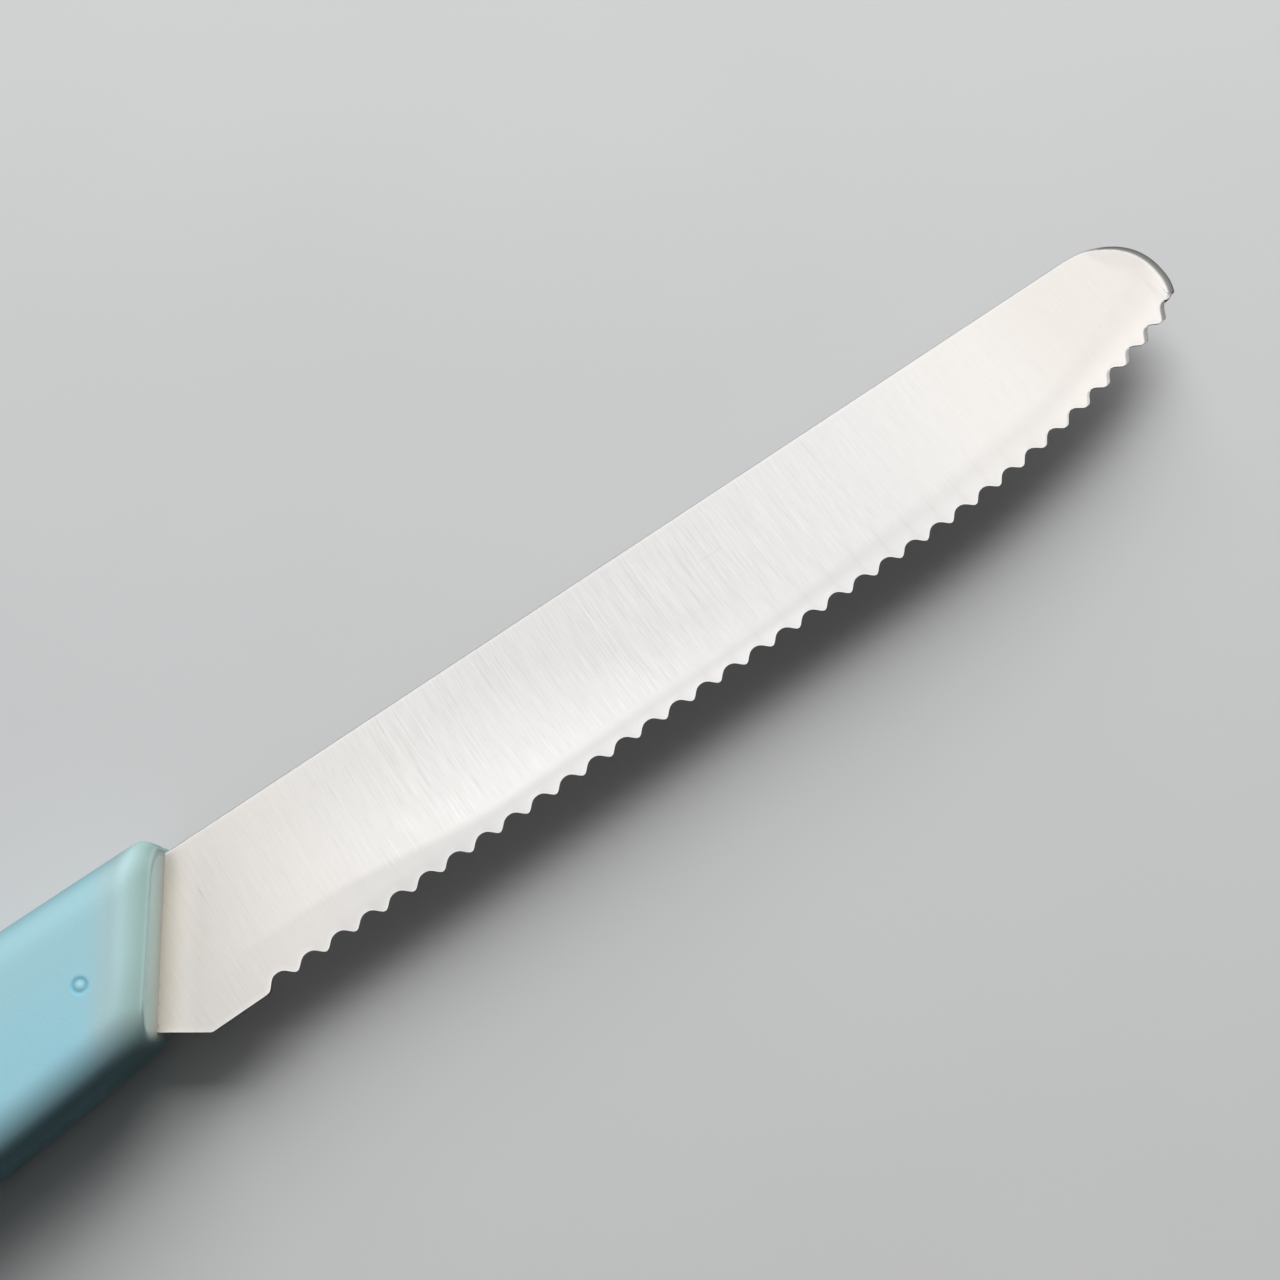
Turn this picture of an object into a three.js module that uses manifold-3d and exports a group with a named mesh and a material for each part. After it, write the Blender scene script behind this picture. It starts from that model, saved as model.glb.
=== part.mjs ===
// Table knife lying on its side: a wavy-edged steel blade whose tang is moulded into a plastic handle.
// Millimetres, +Z up. +X runs towards the tip, +Y towards the spine, and the cutting edge faces -Y.
// The shapes are drawn from the point where the spine meets the handle. Heights across the knife
// are written as distances below the spine line, so a point that lies lower has a larger value.
import * as THREE from 'three';
import { mergeVertices } from 'three/addons/utils/BufferGeometryUtils.js';
import Module from 'manifold-3d';

const wasm = await Module();
wasm.setup();

function degrees(value) {
  return THREE.MathUtils.degToRad(value);
}

// Blade: sheet steel with a straight spine, a long belly towards the tip and a round nose.
const bladeThickness = 1.2;
const edgeMiddle = 14.96;
const bellyStart = 73.6;
const bellyRadius = 120.5;
const noseX = 103.0;
const noseBelow = 6.4;
const noseLength = 8.35;
const noseRise = 6.4;
const noseFall = 5.4;
const noseFullness = 2.3;
const noseBlunt = degrees(3);
const noseSteps = 8;

// Teeth: one wave per pitch, rounder in the valleys than at the tips.
const toothPitch = 3.045;
const firstTip = 4.16;
const waveHeight = 0.431;
const waveSharpness = 0.0675;
const waveRunIn = 0.4;
const lastValley = [34.2, 34.6];
const lastValleyRise = 0.3;
const lastWave = 34.76;
const stepsPerTooth = 8;
const toothEnd = 110.7;

// Grinding: a broad bevel on the upper face, and a hollow for each valley on the lower face.
const bevelWidth = 4.2;
const bevelDrop = 0.25;
const bevelStart = -1;
const bevelRunOut = 9;
const edgeLand = 0.15;
const hollowAtTip = 1.2;
const hollowAtValley = 3.6;
const bevelShare = 0.6;
const hollowShare = 0.5;

// Heel and tang: the blank narrows along a slope at the heel and goes on as a flat bar in the handle.
const heelX = -4.55;
const heelBelow = 15.7;
const heelSlope = 0.7;
const heelStep = 0.2;
const tangTop = 2.2;
const tangBottom = 10.0;
const tangEnd = -72;
const tangCorner = 3;
const tangCornerSteps = 4;
const tangCornerTurn = degrees(80);
const tangShoulder = { from: -6, to: -9 };
const keyHoles = [-22, -42, -62];
const keyHoleRadius = 2.2;
const roundSides = 24;

// Handle: a flat-sided moulding with a slanted front face, soft shoulders and a dropped butt.
const handleHalf = 6.5;
const handleTop = -1.5;
const handleEnd = -105;
const frontSlant = 0.648;
const frontMiddle = { x: -3.7, below: 5.7 };
const slantRunOut = 30;
const frontHalfTop = 4.3;
const frontHalfBottom = 4.9;
const topFillet = 1.15;
const shoulderLength = 3.3;
const chinRadius = 0.6;
const chinBelow = 13.72;
const chinX = -8.4;
const bellySwell = 2.4;
const bellySwellAt = 36;
const bellyWaist = 0.8;
const bellyWaistAt = 62;
const buttDrop = 2.63;
const buttDropAt = 94;
const roofFallStart = -45;
const roofFall = 2.4;
const topEdgeRadius = 3.65;
const frontTopRadius = 2.2;
const bellyEdge = { reach: 3.6, depth: 3.1 };
const frontBellyEdge = { reach: 2.4, depth: 2.6 };
const buttLength = 9;
const buttTurn = degrees(80);
const buttTopRound = 7;
const buttBellyRound = 5.5;
const buttSideRound = 3;
const buttTopShrink = 0.35;
const buttBellyShrink = 0.65;
const filletSteps = 9;
const bodySteps = 26;
const buttSteps = 8;
const cornerSteps = 5;
const slotGap = 0.2;
const markPlace = { x: -10.3, below: 6.8 };
const markRadius = 0.45;
const markDepth = 0.15;
const markSides = 8;
const weldDistance = 1e-4;

// Sizes that follow from those above.
const frontLean = Math.hypot(1, frontSlant);
const filletRun = topFillet * frontLean;
const filletTurn = Math.PI / 2 + Math.atan(frontSlant);
const bodyLength = frontMiddle.x - handleEnd - buttLength;
const boreLength = 4 * bladeThickness;

const steel = new THREE.MeshStandardMaterial({ color: 0xdedbd6, roughness: 0.35, metalness: 1.0 });
const plastic = new THREE.MeshStandardMaterial({ color: 0x9bcdd7, roughness: 0.45, metalness: 0.0 });

// Eases from 0 to 1 with level ends.
function ease(t) {
  return THREE.MathUtils.smoothstep(t, 0, 1);
}

// How far a rounded corner has fallen short of its full height at t, from 0 at its crown to 1 at its side.
// A fullness of 2 is a quarter ellipse, and more than that makes the bend squarer.
function quarterFall(t, fullness = 2) {
  return 1 - Math.max(0, 1 - t ** fullness) ** (1 / fullness);
}

// Closed skin through rings of equal length, each running anticlockwise about the way the rings advance.
function loft(rings) {
  const count = rings[0].length;
  const points = rings.flat();
  const faces = [];
  for (let i = 0; i + 1 < rings.length; i += 1) {
    for (let j = 0; j < count; j += 1) {
      const next = (j + 1) % count;
      const a = i * count + j;
      const b = i * count + next;
      const c = b + count;
      const d = a + count;
      faces.push(a, b, c, a, c, d);
    }
  }
  const lastRing = (rings.length - 1) * count;
  for (let j = 1; j + 1 < count; j += 1) {
    faces.push(0, j + 1, j);
    faces.push(lastRing, lastRing + j, lastRing + j + 1);
  }
  const geometry = new THREE.BufferGeometry().setFromPoints(points);
  geometry.setIndex(faces);
  return geometry;
}

// A closed geometry as a solid that can be cut and joined.
function solidOf(geometry) {
  const bare = geometry.clone();
  bare.deleteAttribute('normal');
  bare.deleteAttribute('uv');
  const merged = mergeVertices(bare, weldDistance);
  const vertProperties = new Float32Array(merged.attributes.position.array);
  const triVerts = new Uint32Array(merged.index.array);
  return new wasm.Manifold(new wasm.Mesh({ numProp: 3, vertProperties, triVerts }));
}

// The solid's skin as a flat-shaded geometry.
function geometryOf(solid) {
  const mesh = solid.getMesh();
  const geometry = new THREE.BufferGeometry();
  geometry.setAttribute('position', new THREE.BufferAttribute(new Float32Array(mesh.vertProperties), 3));
  geometry.setIndex(new THREE.BufferAttribute(new Uint32Array(mesh.triVerts), 1));
  const flat = geometry.toNonIndexed();
  flat.computeVertexNormals();
  return flat;
}

// Round bar across the blade plane, for the holes in the tang and the plastic that fills them.
function crossBar(x, radius, length) {
  const bar = new THREE.CylinderGeometry(radius, radius, length, roundSides);
  bar.rotateX(Math.PI / 2);
  bar.translate(x, -(tangTop + tangBottom) / 2, 0);
  return solidOf(bar);
}

// Spine line: straight, then a full quarter round down to the tip.
function spineBelow(x) {
  return noseRise * quarterFall(Math.max(0, x - noseX) / noseLength, noseFullness) + noseBelow - noseRise;
}

// Underside of the nose, a flatter quarter round that meets the spine's at the tip. Behind the nose
// it sets no limit.
function noseUnder(x) {
  if (x < noseX) {
    return Infinity;
  }
  const t = Math.min(1, (x - noseX) / noseLength);
  return noseBelow + noseFall * (1 - quarterFall(t, noseFullness));
}

// Lower outline of the blank behind the teeth: tang, slope at the heel, then the straight heel.
function blankBelow(x) {
  return THREE.MathUtils.clamp(heelBelow + heelSlope * (x - heelX), tangBottom, heelBelow);
}

// Tang and heel at x, grown outwards by a clearance. The tang's end has rounded corners.
function tangSpan(x, grow) {
  const radius = tangCorner + grow;
  const corner = radius * quarterFall(Math.min(1, Math.max(0, tangEnd + tangCorner - x) / radius));
  const shoulder = tangTop * ease((x - tangShoulder.from) / (tangShoulder.to - tangShoulder.from));
  return { top: shoulder - grow + corner, bottom: blankBelow(x) + grow - corner };
}

// Stations along the tang, from its rounded end to the handle's front.
function tangStations(grow) {
  const stations = [];
  for (let i = tangCornerSteps; i >= 0; i -= 1) {
    const turn = tangCornerTurn * i / tangCornerSteps;
    stations.push(tangEnd + tangCorner - (tangCorner + grow) * Math.sin(turn));
  }
  const slopeFoot = heelX - (heelBelow - tangBottom) / heelSlope;
  stations.push(slopeFoot, tangShoulder.to, (tangShoulder.to + tangShoulder.from) / 2, tangShoulder.from);
  return stations;
}

// One section of the blade: spine, bevel line and edge on the upper face, then back along the lower face.
function bladeRing({ x, edgeX = x, base, edge = base, spine, sharp = 0, ground = 0, valley = 0 }) {
  const half = bladeThickness / 2;
  const span = base - spine;
  const bevelLine = base - Math.min(bevelWidth, bevelShare * span);
  const hollow = THREE.MathUtils.lerp(hollowAtTip, hollowAtValley, valley);
  const hollowLine = base - Math.min(hollow, hollowShare * span);
  const upper = half - sharp * bevelDrop;
  const lower = THREE.MathUtils.lerp(-half, upper - edgeLand, ground);
  return [
    new THREE.Vector3(x, -spine, half),
    new THREE.Vector3(x, -bevelLine, half),
    new THREE.Vector3(edgeX, -edge, upper),
    new THREE.Vector3(edgeX, -edge, lower),
    new THREE.Vector3(x, -hollowLine, -half),
    new THREE.Vector3(x, -spine, -half),
  ];
}

// One section through the teeth. The count runs along the middle line of the wave, which is straight
// and then an arc: 0 at the first tip, whole numbers at the tips and halves in the valleys. The last valley
// runs on level to the nose.
function toothRing(count) {
  const along = firstTip + count * toothPitch;
  const turn = Math.max(0, along - bellyStart) / bellyRadius;
  const x = Math.min(along, bellyStart) + bellyRadius * Math.sin(turn);
  const rise = lastValleyRise * ease((count - lastValley[0]) / (lastValley[1] - lastValley[0]));
  const base = edgeMiddle - bellyRadius * (1 - Math.cos(turn)) - rise;
  const phase = 2 * Math.PI * Math.min(count, lastWave);
  const start = ease((count + 1) / waveRunIn);
  const wave = waveHeight * Math.cos(phase) + waveSharpness * Math.cos(2 * phase) + heelStep * (1 - start);
  const edgeX = x + wave * Math.sin(turn);
  const edge = Math.min(base + wave * Math.cos(turn), noseUnder(edgeX));
  const runOut = 1 - ease((x - toothEnd + toothPitch) / toothPitch);
  return bladeRing({
    x,
    edgeX,
    base: Math.min(base, edge),
    edge,
    spine: spineBelow(x),
    sharp: ease((x - bevelStart) / bevelRunOut) * runOut,
    ground: start * runOut,
    valley: 0.5 - 0.5 * Math.cos(phase),
  });
}

// Blade: tang, heel, teeth and nose as one skin, with the key holes bored through the tang.
function bladeGeometry() {
  const rings = [];
  for (const x of tangStations(0)) {
    const { top, bottom } = tangSpan(x, 0);
    rings.push(bladeRing({ x, base: bottom, spine: top }));
  }
  rings.push(bladeRing({ x: heelX, base: heelBelow, spine: 0 }));
  for (let i = 0; ; i += 1) {
    const ring = toothRing(-1 + i / stepsPerTooth);
    if (ring[0].x > toothEnd) {
      break;
    }
    rings.push(ring);
  }
  const noseStart = Math.asin((toothEnd - noseX) / noseLength);
  for (let i = 0; i <= noseSteps; i += 1) {
    const angle = THREE.MathUtils.lerp(noseStart, Math.PI / 2 - noseBlunt, i / noseSteps);
    const x = noseX + noseLength * Math.sin(angle);
    rings.push(bladeRing({ x, base: noseUnder(x), spine: spineBelow(x) }));
  }
  let solid = solidOf(loft(rings));
  for (const x of keyHoles) {
    solid = solid.subtract(crossBar(x, keyHoleRadius, boreLength));
  }
  return geometryOf(solid);
}

// Belly line of the handle: it swells behind the chin, draws in for the little finger and drops at the butt.
function handleBelly(x) {
  const back = chinX - x;
  const swell = bellySwell * Math.sin(Math.PI / 2 * Math.min(1, back / bellySwellAt));
  const waist = bellyWaist * ease((back - bellySwellAt) / (bellyWaistAt - bellySwellAt));
  return chinBelow + swell - waist + buttDrop * ease((back - bellyWaistAt) / (buttDropAt - bellyWaistAt));
}

// Top line of the handle: level with the spine's direction, then falling gently towards the butt.
function handleRoof(x) {
  const back = Math.max(0, roofFallStart - x) / (roofFallStart - handleEnd);
  return handleTop + roofFall * back * back;
}

// Lowering of the top line near the front, where a fillet joins it to the slanted face.
function filletDrop(back) {
  const turned = Math.max(Math.cos(filletTurn), 1 - back / filletRun);
  const lifted = Math.sqrt(1 - turned * turned);
  return topFillet + topFillet * (frontSlant * turned - lifted) / frontLean;
}

// One section of the handle at a distance behind its front face, a rectangle with rounded corners. The
// belly's corners are quarter ellipses, a little longer up the sides. Near the front the section stands
// parallel to the slanted face, and further back it turns upright.
function handleRing(back) {
  const { lerp } = THREE.MathUtils;
  const slant = frontSlant * (1 - ease(back / slantRunOut));
  const place = (below) => frontMiddle.x - back - slant * (below - frontMiddle.below);
  const butt = quarterFall(Math.max(0, back - bodyLength) * Math.sin(buttTurn) / buttLength);
  const chin = chinRadius * quarterFall(Math.max(0, 1 - back / chinRadius));
  const roof = handleRoof(place(handleTop)) + filletDrop(back) + buttTopRound * butt;
  const belly = handleBelly(place(chinBelow)) - chin - buttBellyRound * butt;

  const shoulder = 1 - Math.max(0, 1 - back / shoulderLength) ** 2;
  const side = handleHalf - buttSideRound * butt;
  const halfTop = lerp(frontHalfTop, side, shoulder);
  const halfBelly = lerp(frontHalfBottom, side, shoulder);
  const topRound = lerp(frontTopRadius, topEdgeRadius, shoulder) * (1 - buttTopShrink * butt);
  const reach = lerp(frontBellyEdge.reach, bellyEdge.reach, shoulder) * (1 - buttBellyShrink * butt);
  const depth = lerp(frontBellyEdge.depth, bellyEdge.depth, shoulder) * (1 - buttBellyShrink * butt);

  const corners = [
    { z: halfTop - topRound, below: roof + topRound, reach: topRound, depth: topRound },
    { z: topRound - halfTop, below: roof + topRound, reach: topRound, depth: topRound },
    { z: depth - halfBelly, below: belly - reach, reach, depth },
    { z: halfBelly - depth, below: belly - reach, reach, depth },
  ];
  const ring = [];
  corners.forEach((corner, quarter) => {
    for (let i = 0; i <= cornerSteps; i += 1) {
      const angle = (quarter + i / cornerSteps) * Math.PI / 2;
      const below = corner.below - corner.reach * Math.sin(angle);
      ring.push(new THREE.Vector3(place(below), -below, corner.z + corner.depth * Math.cos(angle)));
    }
  });
  return ring;
}

// Distances of the handle's sections behind its front face: close together at the shoulders and the butt.
function handleStations() {
  const stations = [];
  for (let i = 0; i <= filletSteps; i += 1) {
    stations.push(filletRun * (1 - Math.cos(filletTurn * i / filletSteps)));
  }
  const bodyStart = stations[filletSteps];
  for (let i = 1; i < bodySteps; i += 1) {
    stations.push(THREE.MathUtils.lerp(bodyStart, bodyLength, i / bodySteps));
  }
  for (let i = 0; i <= buttSteps; i += 1) {
    stations.push(bodyLength + buttLength * Math.sin(buttTurn * i / buttSteps) / Math.sin(buttTurn));
  }
  return stations;
}

// Room for the tang: the tang's own outline grown by the clearance, open through the front face.
function tangRoom() {
  const half = bladeThickness / 2 + slotGap;
  const stations = [...tangStations(slotGap), heelX, 0, firstTip];
  const rings = stations.map((x) => {
    const { top, bottom } = tangSpan(x, slotGap);
    return [
      new THREE.Vector3(x, -top, half),
      new THREE.Vector3(x, -bottom, half),
      new THREE.Vector3(x, -bottom, -half),
      new THREE.Vector3(x, -top, -half),
    ];
  });
  return solidOf(loft(rings));
}

// Handle: the moulding with room for the tang, plugs through the tang's holes and a ring-shaped mark.
function handleGeometry() {
  let room = tangRoom();
  for (const x of keyHoles) {
    room = room.subtract(crossBar(x, keyHoleRadius - slotGap, boreLength));
  }
  const mark = new THREE.TorusGeometry(markRadius, markDepth, markSides, roundSides);
  mark.translate(markPlace.x, -markPlace.below, handleHalf);
  const body = solidOf(loft(handleStations().map(handleRing)));
  return geometryOf(body.subtract(room).subtract(solidOf(mark)));
}

const blade = new THREE.Mesh(bladeGeometry(), steel);
blade.name = 'blade';
const handle = new THREE.Mesh(handleGeometry(), plastic);
handle.name = 'handle';

// The knife lies on the flat side of its handle, centred over the origin.
const knife = new THREE.Group();
knife.add(blade, handle);
const outside = new THREE.Box3().setFromObject(knife);
const middle = outside.getCenter(new THREE.Vector3());
knife.position.set(-middle.x, -middle.y, -outside.min.z);

export default knife;
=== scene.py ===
import bmesh
import bpy
import numpy as np
from mathutils import Matrix, Vector


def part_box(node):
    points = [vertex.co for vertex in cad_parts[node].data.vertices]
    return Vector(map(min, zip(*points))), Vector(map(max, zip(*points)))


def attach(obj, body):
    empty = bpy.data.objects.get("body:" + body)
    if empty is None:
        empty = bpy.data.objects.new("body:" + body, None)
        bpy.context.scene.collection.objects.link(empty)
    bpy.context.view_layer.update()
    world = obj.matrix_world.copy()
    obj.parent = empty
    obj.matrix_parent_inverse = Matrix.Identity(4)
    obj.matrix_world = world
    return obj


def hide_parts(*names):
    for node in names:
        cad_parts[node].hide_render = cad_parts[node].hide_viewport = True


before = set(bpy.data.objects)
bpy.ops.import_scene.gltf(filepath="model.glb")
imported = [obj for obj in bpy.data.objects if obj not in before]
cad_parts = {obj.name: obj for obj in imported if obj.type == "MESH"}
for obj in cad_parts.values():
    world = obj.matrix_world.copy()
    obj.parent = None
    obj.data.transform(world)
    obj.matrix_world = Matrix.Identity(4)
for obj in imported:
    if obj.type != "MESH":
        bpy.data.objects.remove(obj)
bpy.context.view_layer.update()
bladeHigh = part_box("blade")[1]
handleLow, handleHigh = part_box("handle")
print("solids loaded:", sorted(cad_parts))

# Knife coordinates, in millimetres: x from where the spine meets the handle towards the tip,
# below from the spine line towards the edge, z up from the blade's middle plane.
mm = 0.001
layout = {"bladeReach": 111.3386, "handleAboveSpine": 1.5, "weld": 1e-7}  # the weld is in metres
tiny = 1e-9  # keeps divisions away from zero
knifeStart = np.array([
    bladeHigh.x - layout["bladeReach"] * mm,
    handleHigh.y - layout["handleAboveSpine"] * mm,
    (handleLow.z + handleHigh.z) / 2,
])


# Smooth step: 3 t squared minus 2 t cubed, with t held between 0 and 1.
def smoothStep(t):
    t = np.clip(t, 0, 1)
    return t * t * (3 - 2 * t)


# Smooth rise from 0 to 1 over a span: the smooth step of the share of the way from its start to its end.
def riseOver(values, start, end):
    return smoothStep((values - start) / (end - start))


# Fall of a rounded corner from its crown: 1 minus the root of 1 minus t to the power of the fullness.
# A fullness of 2 is a quarter ellipse, and more than that makes the bend squarer.
def quarterFall(t, fullness=2.0):
    return 1 - np.clip(1 - np.clip(t, 0, 1) ** fullness, 0, 1) ** (1 / fullness)


# Straight mix of two values: a plus t times the way from a to b.
def blendTo(a, b, t):
    return a + (b - a) * t


# A row of values stood up as a column, one for each ring.
def column(values):
    return values[:, None]


# Closed skin: every ring of points is joined to the next one and to itself, and points that fall
# together at the ends are merged. Marks are numbers kept at the points for the materials.
def addSkin(name, along, below, height, marks):
    rows, columns = along.shape
    points = np.stack([along, -below, height], axis=-1) * mm + knifeStart
    index = np.arange(rows * columns).reshape(rows, columns)
    beside = np.roll(index, -1, axis=1)
    quads = np.stack([index[:-1], beside[:-1], beside[1:], index[1:]], axis=-1)
    mesh = bpy.data.meshes.new(name)
    mesh.from_pydata(points.reshape(-1, 3).tolist(), [], quads.reshape(-1, 4).tolist())
    for mark, values in marks.items():
        layer = mesh.attributes.new(mark, "FLOAT", "POINT")
        whole = np.broadcast_to(values, (rows, columns))
        layer.data.foreach_set("value", whole.astype(np.float32).ravel())
    work = bmesh.new()
    work.from_mesh(mesh)
    bmesh.ops.remove_doubles(work, verts=work.verts, dist=layout["weld"])
    work.to_mesh(mesh)
    work.free()
    mesh.polygons.foreach_set("use_smooth", np.ones(len(mesh.polygons), dtype=bool))
    piece = bpy.data.objects.new(name, mesh)
    bpy.context.scene.collection.objects.link(piece)
    return piece


# Outward normals of an outline in the blade's plane: the way along it, turned by a quarter.
def outlineNormals(x, below):
    wayX, wayBelow = np.gradient(x), np.gradient(below)
    length = np.hypot(wayX, wayBelow)
    return wayBelow / length, -wayX / length


bladeSteel = {
    "half": 0.6,
    "edgeMiddle": 14.96,
    "bellyStart": 73.6,
    "bellyRadius": 120.5,
    "noseX": 103.0,
    "noseBelow": 6.4,
    "noseLength": 8.35,
    "noseRise": 6.4,
    "noseFall": 5.4,
    "noseFullness": 2.3,
    "noseRows": 30,
    "noseStep": 0.05,
    "toothPitch": 3.045,
    "firstTip": 4.16,
    "waveHeight": 0.431,
    "waveSharpness": 0.0675,
    "waveRunIn": 0.4,
    "lastValley": (34.2, 34.6),
    "lastValleyRise": 0.3,
    "lastWave": 34.76,
    "lastCount": 36,
    "toothEnd": 110.7,
    "stepsPerTooth": 26,
    "bevelWidth": 4.2,
    "bevelShare": 0.6,
    "bevelDrop": 0.25,
    "bevelStart": -1.0,
    "bevelRunOut": 9.0,
    "edgeLand": 0.2,
    "hollowAtTip": 1.2,
    "hollowAtValley": 3.6,
    "hollowShare": 0.5,
    "hollowPower": 1.5,
    "heelX": -4.55,
    "heelBelow": 15.7,
    "heelSlope": 0.7,
    "heelStep": 0.2,
    "heelRound": 0.06,
    "tangTop": 2.2,
    "tangBottom": 10.0,
    "tangEnd": -72.0,
    "tangCorner": 3.0,
    "tangCornerRows": 8,
    "tangShoulder": (-6.0, -9.0),
    "blankRows": ((-66.0, -13.0, 18), (-12.6, -6.2, 17), (-6.0, -3.68, 30), (-3.4, 0.9, 11)),
    "spineRound": 0.16,
    "edgeRound": 0.1,
    "noseRoll": 0.95,
    "noseDepth": 0.55,
    "noseCorner": 109.0,
    "rollLean": 0.5,
    "flankRoll": 0.6,
    "flankSpan": (78.0, 112.0),
    "bandReach": 6.5,
    "bandTurn": (101.0, 107.0),
    "bandStart": (-2.0, 4.0),
    "insetMost": 12.0,
    # columns of a ring, as shares of each of its stretches
    "roundColumns": 7,
    "faceShares": (0.03, 0.12, 0.3, 0.5, 0.7, 0.85, 0.94, 1.0),
    "slopeShares": (0.06, 0.2, 0.4, 0.65, 0.88),
    "scoopShares": (0.05, 0.14, 0.27, 0.42, 0.58, 0.74, 0.88, 0.96, 1.0),
    "underShares": (0.06, 0.25, 0.5, 0.75, 0.94),
    # marks over a rounded rim, from the outline in to the face
    "plainRim": (0.5, 0.75, 0.9, 1.0, 0.9, 0.7, 0.3),
    "rolledRim": (0.0, 0.0, 0.0, 0.0, 0.0, 0.0, 1.0),
    "wallShade": (1.0, 1.0, 1.0, 1.0, 1.0, 0.85, 0.1),
}


# Stations of the blade from the tang's end to the tip. The tang is a bar with round corners, the heel a
# slope that meets the straight heel edge in a soft corner, the teeth a cosine wave plus some of its second
# harmonic along a straight line and then an arc, and the nose two full quarter rounds that meet at the tip.
def bladeStations(s):
    turn = np.linspace(np.pi / 2, 0, s["tangCornerRows"])
    cornerX = s["tangEnd"] + s["tangCorner"] * (1 - np.sin(turn))
    blankX = np.concatenate([cornerX] + [np.linspace(*span) for span in s["blankRows"]])
    corner = s["tangCorner"] * quarterFall((s["tangEnd"] + s["tangCorner"] - blankX) / s["tangCorner"])
    slope = s["heelSlope"] * (blankX - s["heelX"])
    blankLow = s["heelBelow"] - s["heelRound"] * np.logaddexp(0, -slope / s["heelRound"])
    blankLow = np.maximum(blankLow, s["tangBottom"]) - corner
    blankTop = s["tangTop"] * riseOver(blankX, *s["tangShoulder"]) + corner

    count = np.arange(-1, s["lastCount"], 1 / s["stepsPerTooth"])
    path = s["firstTip"] + count * s["toothPitch"]
    lean = np.maximum(0, path - s["bellyStart"]) / s["bellyRadius"]
    toothX = np.minimum(path, s["bellyStart"]) + s["bellyRadius"] * np.sin(lean)
    keep = toothX <= s["toothEnd"]
    count, lean, toothX = count[keep], lean[keep], toothX[keep]
    start = smoothStep((count + 1) / s["waveRunIn"])
    rise = s["lastValleyRise"] * riseOver(count, *s["lastValley"])
    middle = s["edgeMiddle"] - s["bellyRadius"] * (1 - np.cos(lean)) - rise
    phase = 2 * np.pi * np.minimum(count, s["lastWave"])  # the last valley runs on level to the nose
    wave = s["waveHeight"] * np.cos(phase) + s["waveSharpness"] * np.cos(2 * phase)
    wave = wave + s["heelStep"] * (1 - start)
    toothEdgeX = toothX + wave * np.sin(lean)
    toothEdge = middle + wave * np.cos(lean)

    def noseUnder(along):
        fall = quarterFall((along - s["noseX"]) / s["noseLength"], s["noseFullness"])
        return s["noseBelow"] + s["noseFall"] * (1 - fall)

    held = np.minimum(toothEdge, noseUnder(toothEdgeX))
    toothEdge = np.where(toothEdgeX > s["noseX"], held, toothEdge)
    runOut = 1 - smoothStep((toothX - s["toothEnd"] + s["toothPitch"]) / s["toothPitch"])

    first = np.arcsin((s["toothEnd"] + s["noseStep"] - s["noseX"]) / s["noseLength"])
    angle = blendTo(first, np.pi / 2, np.sin(np.linspace(0, np.pi / 2, s["noseRows"])))
    noseX = s["noseX"] + s["noseLength"] * np.sin(angle)
    noseLow = noseUnder(noseX)

    x = np.concatenate([blankX, toothX, noseX])
    spine = s["noseRise"] * quarterFall((x - s["noseX"]) / s["noseLength"], s["noseFullness"])
    spine[: len(blankX)] += blankTop
    none, flat = np.zeros(len(blankX)), np.zeros(len(noseX))
    return {
        "x": x,
        "edgeX": np.concatenate([blankX, toothEdgeX, noseX]),
        "edge": np.concatenate([blankLow, toothEdge, noseLow]),
        "base": np.concatenate([blankLow, np.minimum(middle, toothEdge), noseLow]),
        "level": np.concatenate([blankLow, middle, noseLow]),
        "spine": spine,
        "sharp": np.concatenate([none, runOut, flat]) * smoothStep((x - s["bevelStart"]) / s["bevelRunOut"]),
        "ground": np.concatenate([none, start * runOut, flat]),
        "valley": np.concatenate([none, np.abs(np.sin(phase / 2)), flat]),
    }


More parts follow.
